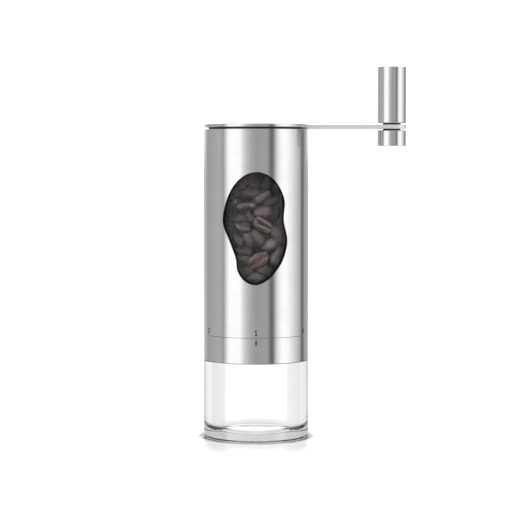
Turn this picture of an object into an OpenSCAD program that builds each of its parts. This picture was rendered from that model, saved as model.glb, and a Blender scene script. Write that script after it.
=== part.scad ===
// Hand crank coffee grinder with a clear grounds cup.
// Millimetres. The origin is the centre of the cup's underside, +Z is up.
// The hopper window faces -Y and the crank arm points along +X.

/* [Body] */
// Outside diameter of the steel body
body_d = 58; // [57:0.5:62]
// Height of the steel sleeve above the adjusting ring
sleeve_h = 113; // [112:0.2:126]
// Wall of the steel sleeve and of the adjusting ring
steel_wall = 0.8; // [0.5:0.1:0.9]

/* [Window] */
// Width of the hopper window as a share of its full width
window_w = 1; // [0.7:0.05:1]
// Height of the hopper window as a share of its full height
window_h = 1; // [0.7:0.05:1]
// Width of the black lip that shows inside the window
window_lip = 1.3; // [0.5:0.1:2.5]

/* [Grounds cup] */
// Height of the clear cup below the adjusting ring
cup_h = 43; // [36:0.2:60]
// Bore of the cup
cup_bore = 40.2; // [32:0.2:44]
// Thickness of the cup's floor
cup_floor = 3.6; // [2.4:0.2:10]
// Radius between the cup's floor and its bore
cup_fillet = 4.6; // [1:0.2:8]
// Radius round the foot of the cup
cup_foot_r = 0.8; // [0.5:0.1:2.5]
// Depth of the recess under the cup
cup_recess = 0.7; // [0.2:0.1:1.2]

/* [Adjusting ring] */
// Height of the adjusting ring
ring_h = 14; // [14:0.2:16]
// Rise of the ring burr over the full travel of the adjusting ring
burr_travel = 1.2; // [0.4:0.1:1.2]

/* [Crank] */
// Distance from the body's axis to the knob's axis
crank_r = 75; // [60:1:95]
// Width of the crank arm
arm_w = 16; // [12:0.5:18]
// Thickness of the crank arm
arm_t = 2.2; // [1.8:0.1:2.2]

/* [Knob] */
// Diameter of the knob
knob_d = 16; // [14:0.5:22]
// Height of the grip above the crank arm
knob_h = 31; // [22:0.2:40]
// Height of the knob's lower cap
knob_cap_h = 8.6; // [5:0.2:12]

/* [Drive] */
// Diameter of the drive shaft
shaft_d = 6; // [5:0.5:6]

/* [Hidden] */

steel = "silver";
black = [0.07, 0.07, 0.075];
ceramic = "ivory";
bronze = [0.72, 0.55, 0.33];

// radii
R = body_d/2;
cup_r = R;
neck_r = R - 4.4;
bore_r = cup_bore/2;
skirt_r = R - 2.6;
skirt_bore_r = R - 4.1;
inner_r = R - steel_wall;          // inside of the steel sheet
liner_r = inner_r - 0.05;
liner_bore_r = R - 3;
tube_r = R - 3.1;
tube_bore_r = R - 4.6;
shaft_r = shaft_d/2;
hex_r = shaft_r;                   // across the corners, inside the round shaft

// heights from the bottom up
ring_z0 = cup_h + 0.2;
zb = ring_z0 + ring_h;             // top of the adjusting ring
sleeve_z0 = zb + 0.1;
sleeve_z1 = sleeve_z0 + sleeve_h;
zt = sleeve_z1 - 0.25;             // top of the liner and of the hopper tube
neck_z1 = cup_h + 5.9;
core_z1 = zb + 21.2;               // top of the funnel
ceil_z = zb + 10.8;                // ceiling of the burr chamber
throat_r = 16;
throat_z = zb + 12.2;
carrier_z0 = zb - 7.6;
carrier_z1 = zb + 7.7;
lug_z0 = carrier_z0 + 0.2;
lug_h = 3;
groove_z0 = lug_z0 - 0.3;
groove_z1 = lug_z0 + lug_h + burr_travel + 0.4;
burr_z0 = carrier_z0 + 1.8;        // underside of the ring burr
cone_z0 = carrier_z0 + 1.3;
cone_h = 15;
cone_r0 = 15.5;
cone_r1 = 8;
hub_z0 = zb + 17.2;
hub_z1 = zb + 26.2;
cap_z0 = sleeve_z1 + 1.05;
cap_z1 = cap_z0 + 2.2;
arm_z1 = cap_z1 - 0.7;
arm_z0 = arm_z1 - arm_t;
knob_r = knob_d/2;
grip_z0 = arm_z1 + 0.85;
grip_z1 = grip_z0 + knob_h;
kcap_z1 = arm_z0 - 0.85;
kcap_z0 = kcap_z1 - knob_cap_h;
arm_back = 14;                     // centre of the arm's hidden round end
lid_screw_at = [[10, 13], [-10, 13], [10, -13], [-10, -13]];

// points of an arc, for profiles
function arc(cx, cy, r, a0, a1, n = 8) =
    [for (i = [0:n]) let (a = a0 + (a1 - a0)*i/n) [cx + r*cos(a), cy + r*sin(a)]];

// closed smooth curve through the points p, k steps between two points
function spline(p, k) = let (n = len(p))
    [for (i = [0:n - 1]) for (j = [0:k - 1])
        let (a = p[(i + n - 1) % n], b = p[i], c = p[(i + 1) % n], d = p[(i + 2) % n], t = j/k)
        0.5*(2*b + (c - a)*t + (2*a - 5*b + 4*c - d)*t*t + (3*b - a - 3*c + d)*t*t*t)];

// hopper window: a soft bean shape, x across and y up from its centre
window_pts = [
    [0.5, 30.5], [7, 28.5], [12, 23.5], [15.5, 15], [15, 4.5], [17, -6.5],
    [15, -16], [11, -23], [6, -28], [0, -30.5], [-6, -28.5], [-10, -23],
    [-11, -16], [-14.5, -6.5], [-18, 3], [-16.5, 13.5], [-12.5, 22.5], [-6.5, 28.5]
];
window_z = sleeve_z0 + 59.2;
function window_outline(lip) =
    [for (p = spline(window_pts, 5))
        [p[0]*window_w*(17 - lip)/17,
         (30.5 - 0.15*lip - (30.5 - p[1])*(61 - 1.15*lip)/61)*window_h]];

// the same outline drawn in by d on all sides
function drawn_in(pts, d) = let (n = len(pts))
    [for (i = [0:n - 1]) let (t = pts[(i + 1) % n] - pts[(i + n - 1) % n])
        pts[i] + d*[t[1], -t[0]]/norm(t)];

module window_cut(lip) {
    translate([0, -R/2, window_z]) rotate([90, 0, 0])
        linear_extrude(height = R) polygon(window_outline(lip));
}

// a tube with small chamfers on its outer edges
module tube(r1, r0, z0, z1, c = 0, fn = 128) {
    rotate_extrude($fn = fn) polygon(c > 0
        ? [[r0, z0], [r1 - c, z0], [r1, z0 + c], [r1, z1 - c], [r1 - c, z1], [r0, z1]]
        : [[r0, z0], [r1, z0], [r1, z1], [r0, z1]]);
}

module thirds(a0 = 30) { for (i = [0:2]) rotate([0, 0, a0 + 120*i]) children(); }

// ---------------------------------------------------------------- cup

module grounds_cup() {
    f = cup_foot_r;
    c = cup_fillet;
    foot_in = cup_r - f - 4.2;         // inner edge of the foot ring
    color([0.9, 0.93, 0.95, 0.35])
    rotate_extrude($fn = 128) polygon(concat(
        [[0, cup_recess], [foot_in - cup_recess, cup_recess], [foot_in, 0]],
        arc(cup_r - f, f, f, -90, 0),
        arc(cup_r - 0.3, cup_h - 0.3, 0.3, 0, 90, 4),
        [[neck_r, cup_h],
         [neck_r, cup_h + 2.1], [neck_r - 1.35, cup_h + 2.1],
         [neck_r - 1.35, cup_h + 3.9], [neck_r, cup_h + 3.9],
         [neck_r, neck_z1 - 0.4], [neck_r - 0.4, neck_z1],
         [bore_r + 0.4, neck_z1], [bore_r, neck_z1 - 0.4]],
        arc(bore_r - c, cup_floor + c, c, 0, -90),
        [[0, cup_floor]]));
}

module cup_seal() {
    color([0.15, 0.15, 0.15])
    rotate_extrude($fn = 96) translate([neck_r - 0.57, cup_h + 3]) circle(r = 0.78, $fn = 24);
}

// ------------------------------------------------------------ housing

module burr_housing() {
    fr = inner_r - 0.1;
    color(black) difference() {
        union() {
            rotate_extrude($fn = 128) polygon([
                [skirt_bore_r, cup_h], [skirt_r, cup_h], [skirt_r, zb + 0.4],
                [fr, zb + 0.4], [fr, zb + 11.2], [tube_bore_r - 0.1, zb + 11.2],
                [tube_bore_r - 0.1, core_z1], [tube_bore_r - 0.5, core_z1],
                [throat_r, throat_z], [throat_r, ceil_z - 1.6], [throat_r + 1.8, ceil_z - 1.6],
                [throat_r + 1.8, ceil_z], [skirt_bore_r, ceil_z]]);
            // pillars that carry the lower bridge
            thirds() translate([20.3, 0, ceil_z + 1]) cylinder(r = 3.5, h = core_z1 - ceil_z - 1, $fn = 32);
        }
        // keyways for the lugs of the burr carrier, open at the bottom
        thirds(90) translate([skirt_bore_r - 1, -2.8, cup_h - 1])
            cube([4, 5.6, groove_z1 - cup_h + 1]);
        // groove for the retaining ring
        difference() {
            translate([0, 0, ring_z0]) cylinder(r = skirt_r + 1, h = 0.7, $fn = 96);
            translate([0, 0, ring_z0 - 1]) cylinder(r = skirt_r - 0.4, h = 3, $fn = 96);
        }
        // screw holes
        thirds() translate([20.3, 0, core_z1 - 7.2]) cylinder(r = 1.22, h = 10, $fn = 24);
    }
}

module outer_sleeve() {
    color(steel) difference() {
        tube(R, inner_r, sleeve_z0, sleeve_z1, 0.12);
        window_cut(0);
    }
}

module sleeve_liner() {
    color(black) difference() {
        tube(liner_r, liner_bore_r, zb + 11.3, zt);
        window_cut(window_lip);
    }
}

// smoky pane that fills the liner's window, flush behind the sleeve
module window_pane() {
    color([0.25, 0.22, 0.21, 0.6]) intersection() {
        tube(liner_r, liner_bore_r, window_z - 33, window_z + 33);
        translate([0, -R/2, window_z]) rotate([90, 0, 0])
            linear_extrude(height = R) polygon(drawn_in(window_outline(window_lip), 0.08));
    }
}

module hopper_tube() {
    color([0.25, 0.22, 0.21, 0.6]) tube(tube_r, tube_bore_r, zb + 11.3, zt);
}

module upper_bearing_bridge() {
    color(black) difference() {
        union() {
            tube(tube_bore_r - 0.05, tube_bore_r - 1.8, zt - 18, zt - 12);
            translate([0, 0, zt - 19.5]) cylinder(r = 7, h = 7.5, $fn = 48);
            thirds(90) translate([5, -2, zt - 17]) cube([tube_bore_r - 6, 4, 5]);
        }
        translate([0, 0, zt - 20]) cylinder(r = shaft_r + 1.62, h = 12, $fn = 48);
    }
}

// flanged plain bush, flange below
module bush(z0, len, fz = 0.8) {
    rotate_extrude($fn = 48) polygon([
        [shaft_r + 0.05, z0 - fz], [shaft_r + 3.2, z0 - fz], [shaft_r + 3.2, z0],
        [shaft_r + 1.6, z0], [shaft_r + 1.6, z0 + len], [shaft_r + 0.05, z0 + len]]);
}

module upper_bush() {
    // flange on top, under the lid's socket
    color(bronze) translate([0, 0, 2*(zt - 12)]) mirror([0, 0, 1]) bush(zt - 12, 7.5);
}

module lower_bearing_bridge() {
    color(black) difference() {
        union() {
            translate([0, 0, hub_z0]) cylinder(r = 7, h = hub_z1 - hub_z0, $fn = 48);
            thirds() {
                translate([5, -3, core_z1]) cube([15.3, 6, 4]);
                translate([20.3, 0, core_z1]) cylinder(r = 3.5, h = 4, $fn = 32);
            }
        }
        translate([0, 0, hub_z0 - 1]) cylinder(r = shaft_r + 1.62, h = 12, $fn = 48);
        thirds() translate([20.3, 0, core_z1 - 1]) cylinder(r = 1.4, h = 6, $fn = 24);
    }
}

module lower_bush() { color(bronze) bush(hub_z0, hub_z1 - hub_z0); }

// pan-head screw, head up, under the head at z = 0
module pan_screw(r, len, head_r, head_h) {
    difference() {
        union() {
            translate([0, 0, -len]) cylinder(r = r, h = len, $fn = 24);
            rotate_extrude($fn = 32) polygon([
                [0, 0], [head_r, 0], [head_r, head_h*0.6], [head_r*0.72, head_h], [0, head_h]]);
        }
        translate([-head_r, -0.3, head_h - 0.5]) cube([2*head_r, 0.6, 1]);
    }
}

module bridge_screws() {
    color(steel) thirds() translate([20.3, 0, core_z1 + 4]) pan_screw(1.2, 11, 2.4, 1.5);
}

module ring_retainer() {
    color(steel) difference() {
        tube(skirt_r + 0.9, skirt_r - 0.38, ring_z0 + 0.05, ring_z0 + 0.65, fn = 96);
        translate([0, R/2 + 5, ring_z0]) cube([8, R, 4], center = true);
    }
}

// --------------------------------------------------------- adjusting ring

module adjust_ring() { color(steel) tube(R, inner_r, ring_z0, zb, 0.12); }

module adjust_ring_insert() {
    ir = inner_r - 0.02;
    br = skirt_r + 0.2;
    z0 = ring_z0 + 0.75;
    z1 = zb - 0.4;
    color(black) rotate_extrude($fn = 128) polygon([
        [br, z0], [ir, z0], [ir, z1], [br, z1],
        [br, groove_z1], [br + 1, groove_z1], [br + 1, groove_z0], [br, groove_z0]]);
}

module burr_carrier() {
    color(black) difference() {
        union() {
            rotate_extrude($fn = 128) polygon([
                [17.6, carrier_z0], [R - 4.3, carrier_z0], [R - 4.3, carrier_z1],
                [19.1, carrier_z1], [19.1, burr_z0], [17.6, burr_z0]]);
            thirds(90) translate([R - 6.3, -2.5, lug_z0]) cube([4.6, 5, lug_h]);
        }
        thirds() translate([21, 0, carrier_z1 - 6]) cylinder(r = 1.22, h = 8, $fn = 24);
    }
}

module ring_burr() {
    h = carrier_z1 - burr_z0;
    rb = cone_r0 - 0.5*(burr_z0 - cone_z0) + 0.35;
    color(ceramic) difference() {
        rotate_extrude($fn = 96) polygon([
            [rb, burr_z0], [18.6, burr_z0], [19, burr_z0 + 0.4], [19, carrier_z1],
            [throat_r, carrier_z1], [rb - 2.5, burr_z0 + 5]]);
        // slanted teeth
        for (i = [0:11]) rotate([0, 0, 30*i]) translate([rb - 2.2, 0, burr_z0 + 3.6])
            rotate([18, 17, 0]) cylinder(r = 1.1, h = h, $fn = 20);
    }
}

module ring_burr_screws() {
    color(steel) thirds() translate([21, 0, carrier_z1]) pan_screw(1.2, 5.5, 2.5, 1.2);
}

// --------------------------------------------------------------- drive

module drive_shaft() {
    color(steel) difference() {
        union() {
            translate([0, 0, cone_z0 - 5]) cylinder(r = 2, h = 6, $fn = 32);
            translate([0, 0, cone_z0]) cylinder(r = hex_r, h = cone_h, $fn = 6);
            translate([0, 0, cone_z0 + cone_h]) cylinder(r = shaft_r, h = zt - 10.8 - cone_z0 - cone_h, $fn = 48);
            translate([0, 0, zt - 10.8]) cylinder(r = hex_r, h = 9.1, $fn = 6);
        }
        // groove for the circlip
        tube(shaft_r + 1, shaft_r - 0.4, hub_z1 + 0.1, hub_z1 + 0.95, fn = 48);
    }
}

module cone_burr() {
    color(ceramic) difference() {
        translate([0, 0, cone_z0]) cylinder(r1 = cone_r0, r2 = cone_r1, h = cone_h, $fn = 96);
        translate([0, 0, cone_z0 - 1]) cylinder(r = hex_r + 0.06, h = cone_h + 2, $fn = 6);
        // slanted teeth that run out towards the rim
        for (i = [0:8]) rotate([0, 0, 40*i]) translate([17.2, 0, cone_z0])
            rotate([10, -30, 0]) cylinder(r = 1.6, h = 20, $fn = 20);
    }
}

module burr_washer() { color(steel) tube(6.5, 2.1, cone_z0 - 0.8, cone_z0, fn = 48); }

module burr_nut() {
    color(steel) difference() {
        translate([0, 0, cone_z0 - 4]) cylinder(r = 4, h = 3.2, $fn = 6);
        translate([0, 0, cone_z0 - 5]) cylinder(r = 2.02, h = 5, $fn = 32);
    }
}

// round wire wound on a helix, with flat-lying ends
module coil(r, wire, turns, z0, z1, per_turn = 18, m = 8) {
    n = turns*per_turn;
    lift = z1 - z0 - wire;
    // the first and last half turn climb only a little
    function climb(t) = t < 0.5 ? 0.2*t : t > turns - 0.5 ? turns - 1 + 0.2*(t - turns + 0.5) + 0.1
        : 0.1 + (turns - 0.9 - 0.1)*(t - 0.5)/(turns - 1);
    top = climb(turns);
    pts = [for (i = [0:n]) let (t = i/per_turn, a = 360*t, z = z0 + wire/2 + lift*climb(t)/top)
        for (k = [0:m - 1]) let (b = 360*k/m, q = r + wire/2*cos(b))
            [q*cos(a), q*sin(a), z + wire/2*sin(b)]];
    side = [for (i = [0:n - 1]) for (k = [0:m - 1])
        [i*m + k, i*m + (k + 1) % m, (i + 1)*m + (k + 1) % m, (i + 1)*m + k]];
    ends = [[for (k = [0:m - 1]) m - 1 - k], [for (k = [0:m - 1]) n*m + k]];
    polyhedron(points = pts, faces = [for (f = concat(side, ends)) [for (j = [len(f) - 1:-1:0]) f[j]]],
        convexity = 8);
}

module thrust_spring() {
    color("gray") coil(shaft_r + 1.4, 1, 4, cone_z0 + cone_h + 0.82, hub_z0 - 1.62);
}

module spring_washers() {
    color(steel) {
        tube(5, shaft_r + 0.05, cone_z0 + cone_h, cone_z0 + cone_h + 0.8, fn = 48);
        tube(5, shaft_r + 0.05, hub_z0 - 1.6, hub_z0 - 0.82, fn = 48);
    }
}

module shaft_circlip() {
    color(steel) difference() {
        tube(shaft_r + 1.8, shaft_r - 0.35, hub_z1 + 0.12, hub_z1 + 0.9, fn = 48);
        translate([4, 0, hub_z1]) cube([8, 3.4, 4], center = true);
    }
}

// --------------------------------------------------------- lid and crank

// outline of the crank arm, grown by g
module arm_outline(g = 0) {
    w = arm_w/2 + g;
    translate([-arm_back, 0]) circle(r = w, $fn = 64);
    translate([crank_r, 0]) circle(r = w, $fn = 64);
    translate([-arm_back, -w]) square([arm_back + crank_r, 2*w]);
}

module lid_cap() {
    color(steel) difference() {
        rotate_extrude($fn = 128) polygon(concat(
            [[0, cap_z0], [R - 0.3, cap_z0], [R, cap_z0 + 0.3]],
            arc(R - 0.6, cap_z1 - 0.95, 0.6, 0, 80, 6),
            [[R*0.75, cap_z1 - 0.2], [R*0.5, cap_z1 - 0.09], [R*0.25, cap_z1 - 0.02], [0, cap_z1]]));
        translate([0, 0, cap_z0 - 1]) linear_extrude(height = arm_z1 + 0.02 - cap_z0 + 1) arm_outline(0.05);
        for (p = lid_screw_at) translate([p[0], p[1], cap_z0 - 1]) cylinder(r = 1.22, h = 2.4, $fn = 24);
    }
}

module lid_plug() {
    color(black) difference() {
        rotate_extrude($fn = 96) polygon([
            [0, zt - 10.4], [7.2, zt - 10.4], [7.2, zt - 2], [R - 6.8, zt - 2], [R - 6.8, zt - 7],
            [R - 5.2, zt - 7], [R - 4.8, zt - 6.6], [R - 4.8, zt + 0.1], [R - 2.8, zt + 0.1],
            [R - 2.8, cap_z0], [0, cap_z0]]);
        translate([0, 0, arm_z0 - 0.02]) linear_extrude(height = 5) arm_outline(0.05);
        translate([0, 0, zt - 11]) cylinder(r = 5.52, h = 9.8, $fn = 48);
        for (p = lid_screw_at) translate([p[0], p[1], 0]) {
            translate([0, 0, zt - 5]) cylinder(r = 1.3, h = 10, $fn = 24);
            translate([0, 0, zt - 3]) cylinder(r = 2.5, h = 2.3, $fn = 32);
        }
    }
}

module drive_socket() {
    color(steel) difference() {
        translate([0, 0, zt - 10.4]) cylinder(r = 5.5, h = 9.1, $fn = 48);
        translate([0, 0, zt - 11]) cylinder(r = hex_r + 0.07, h = 12, $fn = 6);
    }
}

module lid_screws() {
    color(steel) for (p = lid_screw_at)
        translate([p[0], p[1], zt - 0.72]) mirror([0, 0, 1]) pan_screw(1.2, 3.1, 2.3, 1.2);
}

module crank_arm() {
    color(steel) translate([0, 0, arm_z0]) difference() {
        linear_extrude(height = arm_t) arm_outline();
        translate([crank_r, 0, -1]) cylinder(r = 4.25, h = 5, $fn = 48);
    }
}

// --------------------------------------------------------------- knob

module knob_bushes() {
    half = arm_t/2 - 0.02;
    color(black) translate([crank_r, 0, arm_z0 + arm_t/2]) for (s = [0, 1]) mirror([0, 0, s])
        rotate_extrude($fn = 48) polygon([
            [3.1, 0.02], [4.2, 0.02], [4.2, 0.02 + half], [4.9, 0.02 + half],
            [4.9, 0.82 + half], [3.1, 0.82 + half]]);
}

module knob_axle() {
    color(steel) translate([crank_r, 0, 0]) difference() {
        union() {
            translate([0, 0, kcap_z0 + 2.5]) cylinder(r = 3, h = grip_z0 + 14 - kcap_z0 - 2.5, $fn = 48);
            translate([0, 0, kcap_z0 + 0.5]) cylinder(r = 4.6, h = 2, $fn = 48);
        }
        translate([0, 0, kcap_z0]) cylinder(r = 2.3, h = 2, $fn = 6);
    }
}

module knob_grip() {
    e = 0.35;
    color(steel) translate([crank_r, 0, 0]) difference() {
        rotate_extrude($fn = 96) polygon(concat(
            [[0, grip_z0], [knob_r - e, grip_z0], [knob_r, grip_z0 + e]],
            arc(knob_r - e, grip_z1 - e, e, 0, 90, 4),
            [[0, grip_z1]]));
        translate([0, 0, grip_z0 - 1]) cylinder(r = 3.02, h = 15.2, $fn = 48);
    }
}

module knob_cap() {
    e = 0.35;
    color(steel) translate([crank_r, 0, 0]) difference() {
        rotate_extrude($fn = 96) polygon(concat(
            [[0, kcap_z0]], arc(knob_r - e, kcap_z0 + e, e, -90, 0, 4),
            [[knob_r, kcap_z1 - e], [knob_r - e, kcap_z1], [0, kcap_z1]]));
        translate([0, 0, kcap_z0 - 1]) cylinder(r = 3.02, h = knob_cap_h + 2, $fn = 48);
        translate([0, 0, kcap_z0 - 1]) cylinder(r = 4.65, h = 3.5, $fn = 48);
    }
}

grounds_cup();
cup_seal();
burr_housing();
outer_sleeve();
sleeve_liner();
window_pane();
hopper_tube();
upper_bearing_bridge();
upper_bush();
lower_bearing_bridge();
lower_bush();
bridge_screws();
ring_retainer();
adjust_ring();
adjust_ring_insert();
burr_carrier();
ring_burr();
ring_burr_screws();
drive_shaft();
cone_burr();
burr_washer();
burr_nut();
thrust_spring();
spring_washers();
shaft_circlip();
lid_cap();
lid_plug();
drive_socket();
lid_screws();
crank_arm();
knob_bushes();
knob_axle();
knob_grip();
knob_cap();
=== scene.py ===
import math
import random
import bmesh
import bpy
import numpy as np
from mathutils import Matrix, Vector


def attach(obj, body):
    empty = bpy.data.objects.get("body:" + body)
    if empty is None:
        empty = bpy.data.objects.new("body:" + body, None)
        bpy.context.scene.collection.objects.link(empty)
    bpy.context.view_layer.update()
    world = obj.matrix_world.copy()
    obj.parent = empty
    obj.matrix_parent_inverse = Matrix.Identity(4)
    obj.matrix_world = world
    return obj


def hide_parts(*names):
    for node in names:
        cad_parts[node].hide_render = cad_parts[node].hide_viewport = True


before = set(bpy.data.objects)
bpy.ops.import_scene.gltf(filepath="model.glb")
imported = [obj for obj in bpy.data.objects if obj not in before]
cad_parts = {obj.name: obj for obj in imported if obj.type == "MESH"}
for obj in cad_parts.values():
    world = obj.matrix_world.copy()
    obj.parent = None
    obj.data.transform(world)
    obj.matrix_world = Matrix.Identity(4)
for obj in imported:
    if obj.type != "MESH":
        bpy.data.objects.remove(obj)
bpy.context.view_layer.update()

MM = 0.001
scene = bpy.context.scene
scene.view_settings.view_transform = "Standard"
scene.view_settings.look = "None"
scene.view_settings.exposure = 0.0
scene.view_settings.gamma = 1.0
scene.cycles.max_bounces = 28
scene.cycles.glossy_bounces = 24
scene.cycles.transmission_bounces = 24


# ------------------------------------------------------------------ camera

cam_data = bpy.data.cameras.new("camera")
cam = bpy.data.objects.new("camera", cam_data)
scene.collection.objects.link(cam)
scene.camera = cam
cam.location = (0.0, -1.0, 0.155)
aim = Vector((-0.00057, 0.0, 0.1008))
cam.rotation_mode = "QUATERNION"
cam.rotation_quaternion = (aim - cam.location).to_track_quat("-Z", "Y")
cam_data.sensor_width = 36.0
cam_data.lens = 36.0 * 1804.8 / 510.0
cam_data.clip_start = 0.05
cam_data.clip_end = 60.0


# --------------------------------------------------------------- node help

class Nodes:
    """A small helper round one node tree."""

    def __init__(self, tree):
        self.t = tree

    def new(self, kind, **props):
        n = self.t.nodes.new(kind)
        for k, v in props.items():
            setattr(n, k, v)
        return n

    def link(self, a, b):
        self.t.links.new(a, b)

    def math(self, op, a, b=None, clamp=False):
        n = self.new("ShaderNodeMath", operation=op, use_clamp=clamp)
        for i, v in enumerate((a, b)):
            if v is None:
                continue
            if isinstance(v, (int, float)):
                n.inputs[i].default_value = v
            else:
                self.link(v, n.inputs[i])
        return n.outputs[0]

    def ramp(self, fac, stops, mode="LINEAR"):
        n = self.new("ShaderNodeValToRGB")
        r = n.color_ramp
        r.interpolation = mode
        while len(r.elements) > 1:
            r.elements.remove(r.elements[-1])
        for i, (p, c) in enumerate(stops):
            e = r.elements[0] if i == 0 else r.elements.new(p)
            e.position = p
            e.color = (*c, 1) if isinstance(c, tuple) else (c, c, c, 1)
        self.link(fac, n.inputs[0])
        return n.outputs[0]

    def noise(self, vec, scale, detail=3.0, rough=0.5, distort=0.0):
        n = self.new("ShaderNodeTexNoise")
        n.inputs["Scale"].default_value = scale
        n.inputs["Detail"].default_value = detail
        n.inputs["Roughness"].default_value = rough
        n.inputs["Distortion"].default_value = distort
        self.link(vec, n.inputs["Vector"])
        return n.outputs["Fac"]

    def coords(self, scale=(1, 1, 1)):
        tc = self.new("ShaderNodeTexCoord")
        mp = self.new("ShaderNodeMapping")
        mp.inputs["Scale"].default_value = scale
        self.link(tc.outputs["Object"], mp.inputs["Vector"])
        return mp.outputs["Vector"]

    def mapped(self, value, lo, hi, a=0.0, b=1.0):
        n = self.new("ShaderNodeMapRange")
        n.inputs["From Min"].default_value = a
        n.inputs["From Max"].default_value = b
        n.inputs["To Min"].default_value = lo
        n.inputs["To Max"].default_value = hi
        self.link(value, n.inputs["Value"])
        return n.outputs["Result"]

    def bump(self, height, strength, distance):
        n = self.new("ShaderNodeBump")
        n.inputs["Strength"].default_value = strength
        n.inputs["Distance"].default_value = distance
        self.link(height, n.inputs["Height"])
        return n.outputs["Normal"]


def material(name):
    m = bpy.data.materials.new(name)
    m.use_nodes = True
    n = Nodes(m.node_tree)
    bsdf = m.node_tree.nodes["Principled BSDF"]
    return m, n, bsdf


def cylindrical(n, cx=0.0):
    """Angle about a vertical axis through (cx, 0), height, and radius, from object coordinates in metres."""
    tc = n.new("ShaderNodeTexCoord")
    sep = n.new("ShaderNodeSeparateXYZ")
    n.link(tc.outputs["Object"], sep.inputs[0])
    x = n.math("SUBTRACT", sep.outputs["X"], cx)
    ang = n.math("ARCTAN2", x, sep.outputs["Y"])
    rr = n.math("SQRT", n.math("ADD", n.math("MULTIPLY", x, x), n.math("MULTIPLY", sep.outputs["Y"], sep.outputs["Y"])))
    return ang, sep.outputs["Z"], rr


def combine(n, x, y, z):
    c = n.new("ShaderNodeCombineXYZ")
    for i, v in enumerate((x, y, z)):
        if isinstance(v, (int, float)):
            c.inputs[i].default_value = v
        else:
            n.link(v, c.inputs[i])
    return c.outputs[0]


def turned_steel(name, cx=0.0, base=0.62, rough=0.13, flat=False, grain=0.12, spread=0.035):
    """Steel brushed round its axis: fine scratches run round the part, so they vary quickly along Z."""
    m, n, bsdf = material(name)
    ang, z, rr = cylindrical(n, cx)
    along = rr if flat else z
    fine = n.noise(combine(n, n.math("MULTIPLY", ang, 0.006), n.math("MULTIPLY", along, 9.0), 0.0), 900.0, 4.0, 0.65)
    wide = n.noise(combine(n, n.math("MULTIPLY", ang, 0.02), n.math("MULTIPLY", along, 1.2), 0.3), 160.0, 3.0, 0.5)
    haze = n.noise(n.coords(), 35.0, 3.0, 0.55)
    tone = n.mapped(n.math("ADD", n.math("MULTIPLY", fine, 0.65), n.math("MULTIPLY", wide, 0.35)), base - spread, base + spread, 0.3, 0.7)
    col = n.new("ShaderNodeCombineColor")
    n.link(tone, col.inputs[0])
    n.link(n.math("MULTIPLY", tone, 0.996), col.inputs[1])
    n.link(n.math("MULTIPLY", tone, 0.998), col.inputs[2])
    n.link(col.outputs[0], bsdf.inputs["Base Color"])
    rv = n.mapped(fine, rough - 0.03, rough + 0.04, 0.3, 0.7)
    n.link(n.math("ADD", rv, n.mapped(haze, -0.012, 0.015, 0.35, 0.65)), bsdf.inputs["Roughness"])
    n.link(n.bump(fine, grain, 0.00002), bsdf.inputs["Normal"])
    bsdf.inputs["Metallic"].default_value = 1.0
    return m


def long_steel(name, base=0.82, rough=0.66):
    """Steel strip brushed along X."""
    m, n, bsdf = material(name)
    v = n.coords((0.6, 60.0, 60.0))
    fine = n.noise(v, 60.0, 4.0, 0.65)
    wide = n.noise(n.coords((0.3, 6.0, 6.0)), 60.0, 3.0, 0.5)
    tone = n.mapped(n.math("ADD", n.math("MULTIPLY", fine, 0.6), n.math("MULTIPLY", wide, 0.4)), base - 0.04, base + 0.04, 0.3, 0.7)
    col = n.new("ShaderNodeCombineColor")
    for i, k in enumerate((1.0, 0.996, 0.998)):
        n.link(n.math("MULTIPLY", tone, k), col.inputs[i])
    n.link(col.outputs[0], bsdf.inputs["Base Color"])
    n.link(n.mapped(fine, rough - 0.04, rough + 0.05, 0.3, 0.7), bsdf.inputs["Roughness"])
    n.link(n.bump(fine, 0.1, 0.00002), bsdf.inputs["Normal"])
    bsdf.inputs["Metallic"].default_value = 1.0
    return m


def plastic(name, color, rough=0.45, grain=2500.0, spec=0.5):
    m, n, bsdf = material(name)
    v = n.coords()
    g = n.noise(v, grain, 3.0, 0.6)
    w = n.noise(v, grain * 0.04, 3.0, 0.5)
    k = n.mapped(w, 0.8, 1.25, 0.3, 0.7)
    col = n.new("ShaderNodeCombineColor")
    for i in range(3):
        n.link(n.math("MULTIPLY", k, color[i]), col.inputs[i])
    n.link(col.outputs[0], bsdf.inputs["Base Color"])
    n.link(n.mapped(g, rough - 0.06, rough + 0.08, 0.3, 0.7), bsdf.inputs["Roughness"])
    n.link(n.bump(g, 0.25, 0.00004), bsdf.inputs["Normal"])
    bsdf.inputs["Specular IOR Level"].default_value = spec
    return m


def clear(name, tint, rough=0.0, ior=1.49, smear=0.02, absorb=None):
    m, n, bsdf = material(name)
    v = n.coords()
    w = n.noise(v, 90.0, 4.0, 0.6, 0.6)
    bsdf.inputs["Base Color"].default_value = (*tint, 1)
    bsdf.inputs["Transmission Weight"].default_value = 1.0
    bsdf.inputs["IOR"].default_value = ior
    n.link(n.mapped(w, rough, rough + smear, 0.45, 0.8), bsdf.inputs["Roughness"])
    if absorb:
        vol = n.new("ShaderNodeVolumeAbsorption")
        vol.inputs["Color"].default_value = (*absorb[0], 1)
        vol.inputs["Density"].default_value = absorb[1]
        n.link(vol.outputs[0], m.node_tree.nodes["Material Output"].inputs["Volume"])
    return m


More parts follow.
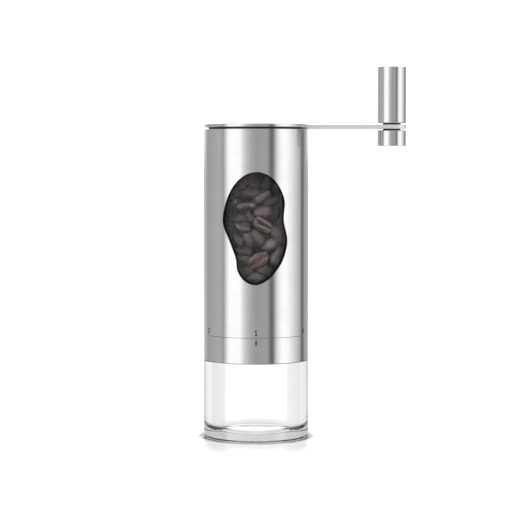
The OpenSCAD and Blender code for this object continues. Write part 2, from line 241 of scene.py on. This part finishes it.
def roasted():
    """Dark roasted beans: each bean has its own tone, with mottling, an oily gloss and pale chaff left in the crease;
    front beans low on the right get a painted highlight, mixed towards pale grey where the light from the right falls.
    """
    m, n, bsdf = material("roasted_bean")
    at = n.new("ShaderNodeAttribute", attribute_name="bean")
    sep = n.new("ShaderNodeSeparateColor")
    n.link(at.outputs["Color"], sep.inputs[0])
    tone, crease = sep.outputs[0], sep.outputs[1]
    v = n.coords()
    mott = n.noise(v, 420.0, 4.0, 0.6)
    fine = n.noise(v, 2600.0, 3.0, 0.6)
    body = n.ramp(n.math("ADD", n.math("MULTIPLY", tone, 0.75), n.math("MULTIPLY", mott, 0.35)),
                  [(0.1, BEAN_DARK), (0.55, BEAN_MID), (0.95, BEAN_RED)])
    # painted highlight: front beans low on the right, where the right-hand light comes through the pane, are mixed
    # towards pale grey in their colour
    painted_right_highlight = n.new("ShaderNodeMix", data_type="RGBA")
    n.link(n.math("MULTIPLY", sep.outputs[2], n.mapped(n.noise(v, 160.0, 3.0, 0.5), 0.25, 1.0, 0.38, 0.62), True), painted_right_highlight.inputs["Factor"])
    n.link(body, painted_right_highlight.inputs[6])
    painted_right_highlight.inputs[7].default_value = (0.48, 0.45, 0.46, 1)
    body = painted_right_highlight.outputs[2]
    chaff = n.new("ShaderNodeMix", data_type="RGBA")
    n.link(n.math("MULTIPLY", crease, n.mapped(mott, 0.0, 1.0, 0.42, 0.62), True), chaff.inputs["Factor"])
    n.link(body, chaff.inputs[6])
    chaff.inputs[7].default_value = (0.30, 0.22, 0.16, 1)
    n.link(chaff.outputs[2], bsdf.inputs["Base Color"])
    n.link(n.mapped(mott, 0.28, 0.46, 0.35, 0.65), bsdf.inputs["Roughness"])
    n.link(n.bump(n.math("ADD", n.math("MULTIPLY", mott, 0.7), n.math("MULTIPLY", fine, 0.3)), 0.8, 0.0016), bsdf.inputs["Normal"])
    bsdf.inputs["Specular IOR Level"].default_value = 0.8
    return m


BEAN_DARK = (0.052, 0.041, 0.046)
BEAN_MID = (0.108, 0.088, 0.095)
BEAN_RED = (0.20, 0.12, 0.118)

STEEL = turned_steel("brushed_steel")
STEEL_RING = turned_steel("brushed_steel_ring", rough=0.12)
STEEL_KNOB = turned_steel("brushed_steel_knob", cx=0.075, rough=0.15)
STEEL_LID = turned_steel("brushed_steel_lid", flat=True)
STEEL_ARM = long_steel("brushed_steel_arm")
STEEL_PLAIN = turned_steel("plain_steel", base=0.55, rough=0.25)
BLACK = plastic("black_plastic", (0.012, 0.012, 0.013))
# black liner, a real part; its near-black, dull lip round the window is a dark rim standing in for the shade at the
# window's edge
BLACK_LINER_AND_RIM_SHADE = plastic("black_liner_and_rim_shade", (0.004, 0.004, 0.0045), rough=0.6, spec=0.1)
RUBBER = plastic("seal_rubber", (0.02, 0.02, 0.02), rough=0.7)
CERAMIC = plastic("ceramic", (0.8, 0.77, 0.7), rough=0.35, grain=1200.0)
INK = plastic("dial_ink", (0.008, 0.008, 0.009), rough=0.6, grain=4000.0, spec=0.2)
BRONZE = plastic("bronze", (0.55, 0.36, 0.17), rough=0.35, grain=3000.0)
BRONZE.node_tree.nodes["Principled BSDF"].inputs["Metallic"].default_value = 1.0
CLEAR = clear("clear_acrylic", (1.0, 1.0, 1.0), smear=0.003, absorb=((0.5, 0.5, 0.5), 24.0))
SMOKE_PANE = clear("smoky_pane", (0.90, 0.89, 0.885), smear=0.002, ior=1.26)
SMOKE = clear("smoky_plastic", (0.88, 0.86, 0.85), smear=0.003, ior=1.08)
BEAN = roasted()

LOOK = {
    "grounds_cup": CLEAR, "cup_seal": RUBBER, "outer_sleeve": STEEL, "adjust_ring": STEEL_RING,
    "lid_cap": STEEL, "crank_arm": STEEL_ARM, "knob_grip": STEEL_KNOB, "knob_cap": STEEL_KNOB,
    "hopper_tube": SMOKE, "window_pane": SMOKE_PANE, "ring_burr": CERAMIC, "cone_burr": CERAMIC, "upper_bush": BRONZE, "lower_bush": BRONZE,
    "burr_housing": BLACK, "sleeve_liner": BLACK_LINER_AND_RIM_SHADE, "upper_bearing_bridge": BLACK, "lower_bearing_bridge": BLACK,
    "adjust_ring_insert": BLACK, "burr_carrier": BLACK, "lid_plug": BLACK, "knob_bushes": BLACK,
}
for name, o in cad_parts.items():
    o.data.materials.clear()
    o.data.materials.append(LOOK.get(name, STEEL_PLAIN))


# ------------------------------------------------------------------ pieces

def add_mesh(name, bm, mat, smooth=True):
    bmesh.ops.recalc_face_normals(bm, faces=bm.faces)
    me = bpy.data.meshes.new(name)
    bm.to_mesh(me)
    bm.free()
    me.polygons.foreach_set("use_smooth", [smooth] * len(me.polygons))
    me.materials.append(mat)
    o = bpy.data.objects.new(name, me)
    scene.collection.objects.link(o)
    return o


def held(profile, closed):
    """Adds a point close to both ends of every long edge, so that smooth shading leaves straight walls straight."""
    out = []
    n = len(profile)
    for i in range(n if closed else n - 1):
        a, b = Vector(profile[i]), Vector(profile[(i + 1) % n])
        out.append(tuple(a))
        if (b - a).length > 0.6:
            d = (b - a).normalized() * 0.05
            out += [tuple(a + d), tuple(b - d)]
    return out if closed else out + [profile[-1]]


def lathe(name, profile, mat, segs=192, cx=0.0, closed=True):
    """Turns a profile of (radius, height) in millimetres round the vertical axis at x = cx."""
    bm = bmesh.new()
    profile = held(profile, closed)
    rings = []
    for r, z in profile:
        if r < 1e-6:
            rings.append([bm.verts.new((cx * MM, 0, z * MM))])
        else:
            rings.append([bm.verts.new(((cx + r * math.cos(2 * math.pi * i / segs)) * MM, r * math.sin(2 * math.pi * i / segs) * MM, z * MM))
                          for i in range(segs)])
    pairs = list(zip(rings, rings[1:])) + ([(rings[-1], rings[0])] if closed else [])
    for a, b in pairs:
        for i in range(segs):
            j = (i + 1) % segs
            if len(a) == 1:
                bm.faces.new((a[0], b[j], b[i]))
            elif len(b) == 1:
                bm.faces.new((a[i], a[j], b[0]))
            else:
                bm.faces.new((a[i], a[j], b[j], b[i]))
    return add_mesh(name, bm, mat)


def arc(cx, cy, r, a0, a1, n=10):
    return [(cx + r * math.cos(math.radians(a0 + (a1 - a0) * i / n)), cy + r * math.sin(math.radians(a0 + (a1 - a0) * i / n)))
            for i in range(n + 1)]




def cup_profile(floor_t=3.6, fillet=4.6, foot=0.8, recess=0.7, bore=20.1, h=43.0):
    R, neck = 29.0, 24.6
    ring = R - foot - 4.2
    return ([(0, recess), (ring - recess - 0.1, recess), (ring - recess, recess - 0.03), (ring - 0.03, 0.03), (ring + 0.1, 0)]
            + arc(R - foot, foot, foot, -90, 0) + arc(R - 0.3, h - 0.3, 0.3, 0, 90, 6)
            + [(neck + 0.1, h), (neck, h + 0.1), (neck, h + 2.05), (neck - 0.1, h + 2.1), (neck - 1.3, h + 2.1), (neck - 1.35, h + 2.15),
               (neck - 1.35, h + 3.85), (neck - 1.3, h + 3.9), (neck - 0.1, h + 3.9), (neck, h + 3.95)]
            + arc(neck - 0.4, h + 5.5, 0.4, 0, 90, 4) + arc(bore + 0.4, h + 5.5, 0.4, 90, 180, 4)
            + arc(bore - fillet, floor_t + fillet, fillet, 0, -90, 16)
            + [(1.5, floor_t), (1.1, floor_t + 0.12), (0.7, floor_t + 0.12), (0.3, floor_t - 0.25), (0, floor_t - 0.25)])


cup = lathe("clear_cup", cup_profile(), CLEAR, closed=False)
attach(cup, "cup")
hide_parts("grounds_cup")

tube = lathe("smoky_tube", [(25.9, 68.5), (25.9, 170.05), (24.4, 170.05), (24.4, 68.5)], SMOKE)
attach(tube, "housing")
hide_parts("hopper_tube")


WINDOW = [(0.5, 30.5), (7, 28.5), (12, 23.5), (15.5, 15), (15, 4.5), (17, -6.5), (15, -16), (11, -23), (6, -28), (0, -30.5),
          (-6, -28.5), (-10, -23), (-11, -16), (-14.5, -6.5), (-18, 3), (-16.5, 13.5), (-12.5, 22.5), (-6.5, 28.5)]
WINDOW_Z = 116.5


def window_outline(lip, k=8):
    """The window's smooth outline, drawn in by the liner's lip, more at the sides and bottom than at the top; the
    near-black lip is a dark rim that stands in for the shade round the window's edge.
    """
    out = []
    n = len(WINDOW)
    for i in range(n):
        a, b, c, d = (Vector(WINDOW[(i + j) % n]) for j in (-1, 0, 1, 2))
        for j in range(k):
            t = j / k
            q = 0.5 * (2 * b + (c - a) * t + (2 * a - 5 * b + 4 * c - d) * t * t + (3 * b - a - 3 * c + d) * t ** 3)
            out.append(Vector((q.x * (17 - lip) / 17, 30.5 - 0.15 * lip - (30.5 - q.y) * (61 - 1.15 * lip) / 61)))
    return out


def make_pane():
    """Curved pane between the sleeve and the tube, built as rings that follow the window's outline."""
    out = window_outline(1.38)
    bm = bmesh.new()
    fracs = [i / 26 for i in range(1, 26)] + [0.975, 0.992, 0.997, 1.0]
    skins = []
    for r in (28.13, 26.02):
        mid = bm.verts.new((0, -r * MM, WINDOW_Z * MM))
        rings = [[bm.verts.new((q.x * f * MM, -math.sqrt(r * r - (q.x * f) ** 2) * MM, (WINDOW_Z + q.y * f) * MM)) for q in out] for f in fracs]
        skins.append((mid, rings))
        for i in range(len(out)):
            j = (i + 1) % len(out)
            bm.faces.new((mid, rings[0][i], rings[0][j]))
            for a, b in zip(rings, rings[1:]):
                bm.faces.new((a[i], b[i], b[j], a[j]))
    for i in range(len(out)):
        j = (i + 1) % len(out)
        bm.faces.new((skins[0][1][-1][i], skins[1][1][-1][i], skins[1][1][-1][j], skins[0][1][-1][j]))
    return add_mesh("curved_pane", bm, SMOKE_PANE)


pane = make_pane()
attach(pane, "housing")
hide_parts("window_pane")


# ------------------------------------------------------------------- beans



# across, up, distance from the axis, tilt of the long axis, roll, crease to the front, size
FRONT = [
    (-5.0, 128.5, 20.4, 2, 80, 0, 1.0), (3.5, 125.3, 19.8, 6, 10, 0, 1.0), (3.5, 118.0, 20.7, -35, 12, 1, 1.0),
    (0.3, 110.8, 20.4, -60, 0, 0, 0.92), (1.0, 98.7, 20.7, 32, 0, 1, 1.05), (-9.4, 109.8, 20.2, -50, 0, 0, 0.76),
    (-3.6, 110.2, 20.2, -70, 30, 0, 0.85),
    (-7.0, 117.4, 19.8, -26, 50, 1, 0.88), (-9.2, 121.8, 18.8, 0, 80, 0, 0.95), (-2.7, 123.2, 18.4, -60, 80, 0, 0.9),
    (2.7, 134.3, 20.0, 35, 60, 0, 1.0), (-3.2, 136.2, 19.4, 8, 20, 0, 1.0), (-2.2, 142.2, 19.4, -65, 20, 0, 0.95),
    (-6.9, 140.6, 21.2, 60, 0, 0, 0.68), (5.0, 140.8, 19.0, 50, 30, 0, 0.8), (7.6, 131.3, 19.6, 15, 0, 0, 1.0),
    (9.0, 124.8, 18.6, 75, 30, 0, 1.0), (-14.1, 129.7, 19.6, 10, 20, 0, 0.95), (-14.1, 124.2, 19.0, -20, 30, 0, 0.95),
    (-14.1, 117.2, 19.6, -80, 20, 0, 0.95), (-7.0, 103.6, 18.9, 20, 20, 0, 1.0), (-8.2, 98.7, 19.5, 15, 0, 0, 0.95),
    (3.8, 93.5, 19.2, -20, 10, 0, 1.0), (0.0, 89.2, 20.0, -5, 0, 0, 1.0), (-6.5, 92.7, 19.2, 35, 20, 0, 1.0),
    (8.2, 107.9, 19.8, 30, 0, 0, 1.0), (11.4, 112.8, 19.6, -60, 20, 0, 1.0), (11.4, 101.4, 20.0, 60, 10, 0, 1.0),
    (13.0, 119.9, 19.4, 80, 0, 0, 1.0), (13.6, 130.2, 19.4, -70, 10, 0, 1.0), (-11.9, 136.2, 19.6, 30, 10, 0, 1.0),
]
BEAN_OFF = np.array([-2.5, 0.0, 2.5])


def pack_beans(seed=11, n_free=205, steps=500):
    """Lets the beans settle in the hopper between the tube and the shaft. Each bean is three balls in a row."""
    rng = np.random.default_rng(seed)
    r_out, r_in, z_lo, rad = 24.3, 3.4, 84.6, 3.3
    P, A = [], []
    for x, z, rc, tilt, roll, crease, size in FRONT:
        th = math.asin(x / rc)
        er, et = np.array([math.sin(th), -math.cos(th), 0.0]), np.array([math.cos(th), math.sin(th), 0.0])
        P.append(er * rc + np.array([0, 0, z]))
        A.append(et * math.cos(math.radians(tilt)) + np.array([0, 0, math.sin(math.radians(tilt))]))
    nf = len(P)
    for i in range(n_free):
        r, th = math.sqrt(rng.uniform(7.5 ** 2, 20.5 ** 2)), rng.uniform(0, 2 * math.pi)
        P.append([r * math.cos(th), r * math.sin(th), 90 + i * 0.42 + rng.uniform(-3, 3)])
        v = rng.normal(size=3)
        v[2] *= 0.55
        A.append(v / np.linalg.norm(v))
    P, A = np.array(P), np.array(A)
    home, home_a, n = P[:nf].copy(), A[:nf].copy(), len(P)
    mob = np.ones(n)
    mob[:nf] = 0.06
    owner = np.repeat(np.arange(n), 3)
    same = owner[:, None] == owner[None, :]
    for s in range(steps):
        P[nf:, 2] -= 0.5 if s < steps * 0.45 else (0.14 if s < steps * 0.85 else 0.03)
        c = (P[:, None, :] + A[:, None, :] * BEAN_OFF[None, :, None]).reshape(-1, 3)
        D = np.zeros_like(c)
        sq = (c * c).sum(1)
        d2 = sq[:, None] + sq[None, :] - 2 * c @ c.T
        d2[same] = 1e9
        ii, jj = np.nonzero(np.triu(d2 < (2 * rad) ** 2, 1))
        if len(ii):
            v = c[ii] - c[jj]
            d = np.sqrt((v * v).sum(1)) + 1e-9
            push = (2 * rad - d)[:, None] * v / d[:, None]
            wi, wj = mob[owner[ii]], mob[owner[jj]]
            np.add.at(D, ii, push * (wi / (wi + wj))[:, None] * 0.9)
            np.add.at(D, jj, -push * (wj / (wi + wj))[:, None] * 0.9)
        rr = np.hypot(c[:, 0], c[:, 1]) + 1e-9
        D[:, :2] -= c[:, :2] / rr[:, None] * np.clip(rr - (r_out - rad), 0, None)[:, None]
        D[:, :2] += c[:, :2] / rr[:, None] * np.clip(r_in + rad - rr, 0, None)[:, None]
        D[:, 2] += np.clip(z_lo + rad - c[:, 2], 0, None)
        D = D.reshape(n, 3, 3)
        P += D.mean(1) * 1.25
        A += (D * BEAN_OFF[None, :, None]).sum(1) / (BEAN_OFF ** 2).sum() * 0.9
        A /= np.linalg.norm(A, axis=1)[:, None]
        P[:nf] += (home - P[:nf]) * 0.7
        A[:nf] = home_a
    return P, A, nf


def bean_shape(rings=21, across=19, back=11):
    """One bean 11.6 x 7.6 x 5.4 mm: long axis X, width Y, the creased flat side up +Z. Gives points, faces and crease depth."""
    half_l, half_w, h_flat, h_back = 5.8, 3.8, 1.9, 3.5
    pts, deep = [], []
    ts = [-math.cos(math.pi * (i + 1) / (rings + 1)) for i in range(rings)]
    for t in ts:
        p = (1 - abs(t) ** 2.3) ** (1 / 2.1)
        w = half_w * p
        row = []
        for k in range(across):
            q = -1 + 2 * k / (across - 1)
            s = math.copysign(abs(q) ** 1.55, q)
            y0 = 0.35 * math.sin(2.6 * t)
            y = w * s
            z = h_flat * p * (1 - abs(s) ** 2.6) ** 0.5
            g = math.exp(-((y - y0) / 0.5) ** 2) * max(0.0, 1 - abs(t) ** 5)
            z -= 1.35 * g * min(1.0, p * 1.2)
            z -= 0.35 * math.exp(-((y - y0) / 1.5) ** 2)
            row.append((half_l * t, y, z, g))
        for k in range(1, back - 1):
            a = math.pi * k / (back - 1)
            row.append((half_l * t, w * math.cos(a), -h_back * p * math.sin(a) ** 0.85, 0.0))
        pts += row
    m = across + back - 2
    pts += [(-half_l, 0, 0.1, 0), (half_l, 0, 0.1, 0)]
    faces = []
    for i in range(rings - 1):
        for k in range(m):
            k2 = (k + 1) % m
            faces.append((i * m + k, i * m + k2, (i + 1) * m + k2, (i + 1) * m + k))
    for k in range(m):
        faces.append((len(pts) - 2, (k + 1) % m, k))
        faces.append((len(pts) - 1, (rings - 1) * m + k, (rings - 1) * m + (k + 1) % m))
    a = np.array(pts)
    a[:, 2] += 0.9                       # centre the thickness
    return a[:, :3], faces, a[:, 3]


def make_beans():
    P, A, nf = pack_beans()
    rng = np.random.default_rng(5)
    base, faces, crease = bean_shape()
    nv = len(base)
    V, F, tone, cr, pale = [], [], [], [], []
    for i, (p, a) in enumerate(zip(P, A)):
        if p[2] > 149:
            continue
        radial = np.array([p[0], p[1], 0.0])
        rl = np.linalg.norm(radial)
        radial /= rl
        if i >= nf and p[1] < -11 and abs(p[0]) < 13 and rl > 15.5 and 88 < p[2] < 145:
            continue                     # the beans listed in FRONT fill the window
        if i < nf:
            roll, size = FRONT[i][4], FRONT[i][6]
            sign = 1.0 if FRONT[i][5] else -1.0
        elif rl > 14:
            roll, size = rng.normal(0, 28), rng.uniform(0.92, 1.06)
            sign = 1.0 if rng.random() < 0.4 else -1.0
        else:
            roll, size, sign = rng.uniform(0, 180), rng.uniform(0.9, 1.05), 1.0
        nrm = radial - a * (radial @ a)
        if np.linalg.norm(nrm) < 1e-3:
            nrm = np.cross(a, [0, 0, 1.0])
        nrm /= np.linalg.norm(nrm)
        nrm *= sign
        side = np.cross(nrm, a)
        c, s = math.cos(math.radians(roll)), math.sin(math.radians(roll))
        nrm, side = nrm * c + side * s, side * c - nrm * s
        b = base.copy()
        wob = 1 + 0.05 * np.sin(b[:, 0] * rng.uniform(0.4, 0.7) + rng.uniform(0, 6)) * np.array(1.0)
        b[:, 1] *= wob * rng.uniform(0.94, 1.05)
        b[:, 2] *= rng.uniform(0.92, 1.06)
        b[:, 2] += 0.012 * b[:, 0] ** 2 * rng.uniform(-0.6, 0.9)
        b *= size
        w = p + b[:, :1] * a + b[:, 1:2] * side + b[:, 2:3] * nrm
        # keep every bean between the tube and the shaft
        r = np.hypot(w[:, 0], w[:, 1])
        k = np.where(r > 24.2, 24.2 / r, 1.0)
        k = np.where(r < 3.5, 3.5 / np.maximum(r, 0.1), k)
        w[:, :2] *= k[:, None]
        w[:, 2] = np.clip(w[:, 2], 84.5, 149.8)
        V.append(w * MM)
        F += [tuple(q + len(V[:-1]) * nv for q in f) for f in faces]
        t = rng.uniform(0.15, 0.75)
        if i < nf:
            t = {4: 0.8, 13: 1.15, 2: 0.6, 3: 0.5}.get(i, 0.15 + 0.45 * rng.random())
        tone += [t] * nv
        front = 1.0 if p[1] < 0 else 0.0
        # painted highlight mask: front beans low on the right, lit from the right through the pane, are marked for the
        # pale grey mix in the bean material
        pale += [front * min(1.0, max(0.0, (p[0] - 7.0) / 4.0)) * min(1.0, max(0.0, (121.0 - p[2]) / 7.0))] * nv
        cr += list(crease)
    V = np.concatenate(V)
    me = bpy.data.meshes.new("coffee_beans")
    me.from_pydata([tuple(v) for v in V], [], F)
    me.update()
    col = me.color_attributes.new("bean", "FLOAT_COLOR", "POINT")
    buf = np.ones((len(V), 4), dtype=np.float32)
    buf[:, 0], buf[:, 1], buf[:, 2] = tone, cr, pale
    col.data.foreach_set("color", buf.ravel())
    me.polygons.foreach_set("use_smooth", [True] * len(me.polygons))
    me.materials.append(BEAN)
    o = bpy.data.objects.new("coffee_beans", me)
    scene.collection.objects.link(o)
    bm = bmesh.new()
    bm.from_mesh(me)
    bmesh.ops.recalc_face_normals(bm, faces=bm.faces)
    bm.to_mesh(me)
    bm.free()
    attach(o, "housing")
    return o


make_beans()


# ------------------------------------------------------------ dial numbers

DIGITS = {
    "1": [[(0.10, 0.80), (0.32, 1.0), (0.32, 0.0)], [(0.08, 0.0), (0.56, 0.0)]],
    "2": [[(0.04, 0.74), (0.10, 0.91), (0.30, 1.0), (0.50, 0.91), (0.56, 0.73), (0.46, 0.53), (0.05, 0.0)], [(0.03, 0.0), (0.58, 0.0)]],
    "3": [[(0.05, 0.90), (0.29, 1.0), (0.50, 0.90), (0.54, 0.74), (0.44, 0.58), (0.24, 0.53)],
          [(0.24, 0.53), (0.47, 0.46), (0.56, 0.27), (0.47, 0.07), (0.27, 0.0), (0.03, 0.10)]],
    "4": [[(0.43, 0.0), (0.43, 1.0), (0.02, 0.30), (0.60, 0.30)]],
    "5": [[(0.52, 1.0), (0.12, 1.0), (0.08, 0.56)], [(0.08, 0.56), (0.30, 0.62), (0.50, 0.52), (0.56, 0.30), (0.48, 0.08), (0.26, 0.0), (0.04, 0.08)]],
    "6": [[(0.51, 0.93), (0.34, 1.0), (0.16, 0.88), (0.06, 0.60), (0.05, 0.30), (0.14, 0.07), (0.30, 0.0), (0.48, 0.07), (0.56, 0.28),
           (0.48, 0.50), (0.30, 0.56), (0.12, 0.47), (0.05, 0.30)]],
}


def ribbon(bm, pts, width, place):
    """A flat stroke along pts, wrapped onto the body by place(across, up, out)."""
    half = width / 2
    rows = []
    for i, p in enumerate(pts):
        a = Vector(pts[max(i - 1, 0)])
        b = Vector(pts[min(i + 1, len(pts) - 1)])
        p = Vector(p)
        d0 = (p - a).normalized() if i else (b - p).normalized()
        d1 = (b - p).normalized() if i < len(pts) - 1 else d0
        d = (d0 + d1).normalized()
        nrm = Vector((-d.y, d.x))
        k = half / max(0.45, nrm.dot(Vector((-d0.y, d0.x))))
        q = p.copy()
        if i == 0:
            q -= d0 * half * 0.6
        if i == len(pts) - 1:
            q += d1 * half * 0.6
        rows.append([place(*(q + nrm * k), 1), place(*(q - nrm * k), 1), place(*(q - nrm * k), 0), place(*(q + nrm * k), 0)])
    vs = [[bm.verts.new(v) for v in r] for r in rows]
    for a, b in zip(vs, vs[1:]):
        for k in range(4):
            bm.faces.new((a[k], a[(k + 1) % 4], b[(k + 1) % 4], b[k]))
    bm.faces.new(vs[0])
    bm.faces.new(list(reversed(vs[-1])))


def on_body(az, z0, height, mid):
    """Places a stroke point on the body: az is the azimuth from the front, z0 the foot of the mark."""
    def place(u, v, out):
        th = math.radians(az) + (u - mid) * height / 29.0
        r = (29.0 + (0.02 if out else -0.06)) * MM
        return (r * math.sin(th), -r * math.cos(th), (z0 + v * height) * MM)
    return place


def subdivide(pts, k=3):
    out = []
    for a, b in zip(pts, pts[1:]):
        out += [(a[0] + (b[0] - a[0]) * i / k, a[1] + (b[1] - a[1]) * i / k) for i in range(k)]
    return out + [pts[-1]]


def rounded(pts, k=4):
    """Smooth curve through the points, for the bowls of 2, 3, 5 and 6."""
    out = []
    n = len(pts)
    for i in range(n - 1):
        a, b, c, d = (Vector(pts[max(i - 1, 0)]), Vector(pts[i]), Vector(pts[i + 1]), Vector(pts[min(i + 2, n - 1)]))
        for j in range(k):
            t = j / k
            out.append(tuple(0.5 * (2 * b + (c - a) * t + (2 * a - 5 * b + 4 * c - d) * t * t + (3 * b - a - 3 * c + d) * t ** 3)))
    return out + [pts[-1]]


bm = bmesh.new()
for digit, az in (("1", 0), ("2", -63), ("3", -123), ("4", 180), ("5", 123), ("6", 63)):
    for stroke in DIGITS[digit]:
        pts = rounded(stroke) if len(stroke) > 4 else subdivide(stroke)
        ribbon(bm, pts, 0.19, on_body(az, 58.85, 2.45, 0.31))
numbers = add_mesh("dial_numbers", bm, INK, smooth=False)
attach(numbers, "housing")
bm = bmesh.new()
ribbon(bm, subdivide([(0.0, 0.0), (0.0, 1.0)], 4), 0.30, on_body(0, 53.45, 2.4, 0.0))
index = add_mesh("index_bar", bm, INK, smooth=False)
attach(index, "grind_ring")


# ------------------------------------------------------------------- stage

def studio():
    w = bpy.data.worlds.new("studio")
    scene.world = w
    w.use_nodes = True
    t = w.node_tree
    t.nodes.clear()
    n = Nodes(t)
    out = n.new("ShaderNodeOutputWorld")
    bg = n.new("ShaderNodeBackground")
    geo = n.new("ShaderNodeTexCoord")
    sep = n.new("ShaderNodeSeparateXYZ")
    n.link(geo.outputs["Generated"], sep.inputs[0])
    # azimuth from -Y towards +X, 0..1 over the full turn starting behind the object
    az = n.math("ARCTAN2", sep.outputs["X"], n.math("MULTIPLY", sep.outputs["Y"], -1.0))
    u = n.math("ADD", n.math("DIVIDE", az, 2 * math.pi), 0.5)
    deg = lambda a: (a + 180.0) / 360.0
    cards = [(-180, 1.0), (-167, 0.75), (-146, 0.65), (-133, 0.5), (-85, 0.65), (-76, 0.45), (-69, 1.05), (-62, 1.6), (-36, 1.6),
             (-25, 0.95), (-12, 0.63), (0, 0.5), (22, 0.54), (27, 0.5), (31, 0.2), (38, 0.2), (44, 0.85), (52, 1.35), (60, 1.6),
             (74, 1.55), (95, 1.0), (112, 0.65), (120, 0.2), (127, 0.2), (132, 0.52), (155, 0.55), (180, 1.0)]
    steel = n.ramp(u, [(deg(a), v) for a, v in cards])
    # what the floor mirrors behind the grinder stays white
    back = n.math("MULTIPLY", n.math("GREATER_THAN", sep.outputs["Z"], 0.0),
                  n.ramp(u, [(deg(-180), 1.0), (deg(-150), 1.0), (deg(-140), 0.0), (deg(140), 0.0), (deg(150), 1.0), (deg(180), 1.0)]))
    pattern = n.new("ShaderNodeMix", data_type="RGBA")
    n.link(back, pattern.inputs["Factor"])
    n.link(steel, pattern.inputs[6])
    pattern.inputs[7].default_value = (1.1, 1.1, 1.1, 1)
    lp = n.new("ShaderNodeLightPath")
    # what the clear parts bend into view: white behind, greyer to the sides and underneath
    clear_az = n.ramp(u, [(deg(-180), 1.35), (deg(-158), 1.35), (deg(-155), 1.1), (deg(-120), 1.1), (deg(-70), 1.0), (deg(0), 1.1),
                          (deg(70), 1.0), (deg(120), 1.1), (deg(155), 1.1), (deg(158), 1.35), (deg(180), 1.35)])
    clear_el = n.ramp(n.math("ADD", n.math("MULTIPLY", sep.outputs["Z"], 0.5), 0.5),
                      [(0.0, 0.75), (0.30, 0.82), (0.40, 1.0), (0.75, 1.0), (1.0, 0.85)])
    clear_view = n.math("MULTIPLY", clear_az, clear_el)
    # light that reaches the beans behind the window: a soft box to the right, a weaker one to the left, little from below
    bean_az = n.ramp(u, [(deg(-180), 0.6), (deg(-100), 0.9), (deg(-70), 4.0), (deg(-40), 1.8), (deg(-15), 0.3), (deg(20), 0.3),
                         (deg(48), 2.0), (deg(70), 6.5), (deg(95), 5.0), (deg(110), 1.0), (deg(180), 0.6)])
    bean_el = n.ramp(n.math("ADD", n.math("MULTIPLY", sep.outputs["Z"], 0.5), 0.5),
                     [(0.0, 0.05), (0.35, 0.12), (0.5, 0.5), (0.65, 1.4), (0.8, 3.0), (1.0, 3.0)])
    bean_light = n.math("MULTIPLY", bean_az, bean_el)
    through = n.math("MINIMUM", lp.outputs["Transmission Depth"], 1.0)
    deep = n.math("MULTIPLY", n.math("GREATER_THAN", lp.outputs["Transmission Depth"], 6.5), n.math("MINIMUM", lp.outputs["Glossy Depth"], 1.0))
    on_bean = n.math("MAXIMUM", n.math("MINIMUM", lp.outputs["Diffuse Depth"], 1.0), deep)
    inside = n.new("ShaderNodeMix", data_type="RGBA")
    n.link(on_bean, inside.inputs["Factor"])
    n.link(clear_view, inside.inputs[6])
    n.link(bean_light, inside.inputs[7])
    glossy = n.math("MULTIPLY", lp.outputs["Is Glossy Ray"], n.math("SUBTRACT", 1.0, through))
    plain = n.new("ShaderNodeMix", data_type="RGBA")
    n.link(through, plain.inputs["Factor"])
    plain.inputs[6].default_value = (1.4, 1.4, 1.4, 1)
    n.link(inside.outputs[2], plain.inputs[7])
    mix = n.new("ShaderNodeMix", data_type="RGBA")
    n.link(glossy, mix.inputs["Factor"])
    n.link(plain.outputs[2], mix.inputs[6])
    n.link(pattern.outputs[2], mix.inputs[7])
    n.link(mix.outputs[2], bg.inputs["Color"])
    n.link(bg.outputs[0], out.inputs["Surface"])


studio()

bpy.ops.mesh.primitive_plane_add(size=24.0, location=(0, 0, -0.00008))
floor = bpy.context.object
floor.name = "floor"
fm, fn, fb = material("floor_white")
fv = fn.coords()
# painted contact shadow: the floor's colour goes black where the AO node finds the grinder within 6 mm, and white
# further out
ao = fn.new("ShaderNodeAmbientOcclusion", samples=24)
ao.inputs["Distance"].default_value = 0.006
painted_contact_shadow = fn.ramp(ao.outputs["AO"], [(0.0, 0.0), (0.45, 0.0), (0.7, 0.3), (0.88, 0.92), (1.0, 0.96)])
fn.link(painted_contact_shadow, fb.inputs["Base Color"])
fn.link(fn.mapped(fn.noise(fv, 30.0), 0.14, 0.18, 0.3, 0.7), fb.inputs["Roughness"])
floor.data.materials.append(fm)
floor.visible_glossy = False
floor.visible_transmission = False
